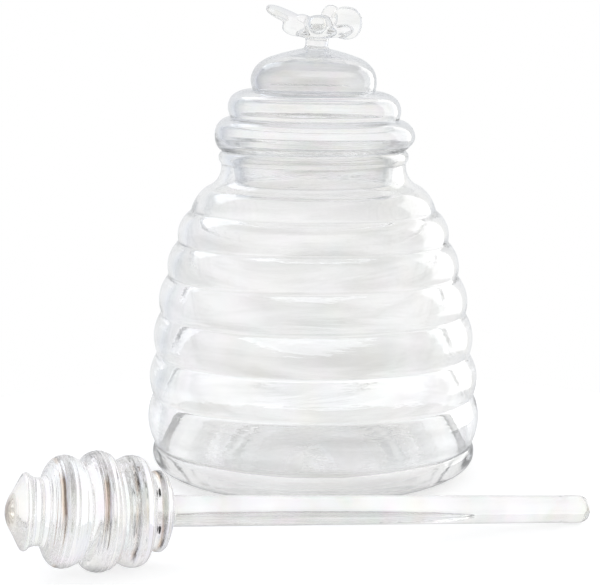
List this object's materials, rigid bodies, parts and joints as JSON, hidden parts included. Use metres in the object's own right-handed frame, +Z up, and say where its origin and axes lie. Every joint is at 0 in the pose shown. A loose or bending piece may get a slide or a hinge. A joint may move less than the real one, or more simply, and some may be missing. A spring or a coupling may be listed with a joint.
{
  "type": "honey jar with dipper",
  "caption": "Clear glass honey jar ribbed like a beehive, with a domed lid, a bee finial and a solid glass dipper lying in front.",
  "frame": {"origin": "centre of the jar's foot, on the surface it stands on", "axes": "+Z up along the jar's axis, +X to the right of the jar, -Y to its front, where the dipper lies"},
  "size_m": [0.1572, 0.1792, 0.1464],
  "materials": {
    "clear_glass": "clear blown glass, smooth",
    "lid_glass": "clear blown glass, smooth",
    "dipper_glass": "clear solid glass, flame polished"
  },
  "bodies": {
    "root": {"jar": "clear_glass", "lid": "lid_glass", "dipper": "dipper_glass"}
  },
  "joints": []
}
